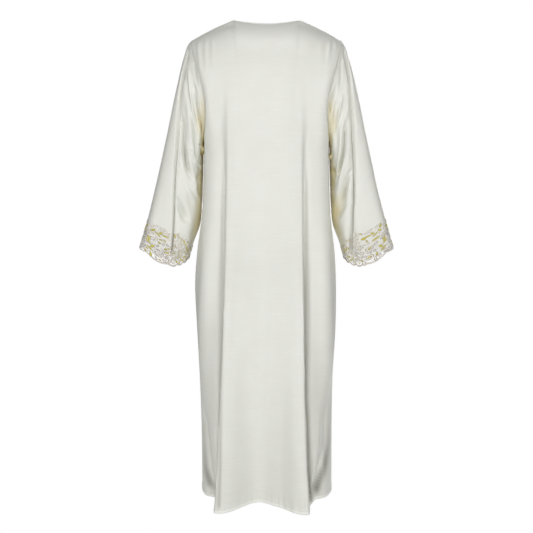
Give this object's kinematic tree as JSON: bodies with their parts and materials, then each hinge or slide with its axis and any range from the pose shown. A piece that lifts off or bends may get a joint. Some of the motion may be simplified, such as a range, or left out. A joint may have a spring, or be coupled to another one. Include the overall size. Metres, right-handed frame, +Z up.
{
  "type": "abaya",
  "caption": "Long ivory satin abaya with a round bound neck, wide sleeves and embroidered lace cuffs, filled out as worn.",
  "frame": {"origin": "on the centre line, level with the shoulder seams where they meet the neck, between the two of them", "axes": "+Z up along the garment, the back faces -Y and the front +Y, and the wearer's left sleeve is on -X"},
  "size_m": [0.762, 0.3769, 1.4168],
  "materials": {
    "ivory_satin": "soft ivory satin",
    "embroidered_lace": "fine net with white and golden embroidery",
    "ivory_binding": "satin binding"
  },
  "bodies": {
    "root": {"back_panel": "ivory_satin", "front_panel": "ivory_satin", "sleeve_left": "ivory_satin", "sleeve_right": "ivory_satin", "lace_cuff_left": "embroidered_lace", "lace_cuff_right": "embroidered_lace", "neck_binding": "ivory_binding"}
  },
  "joints": []
}
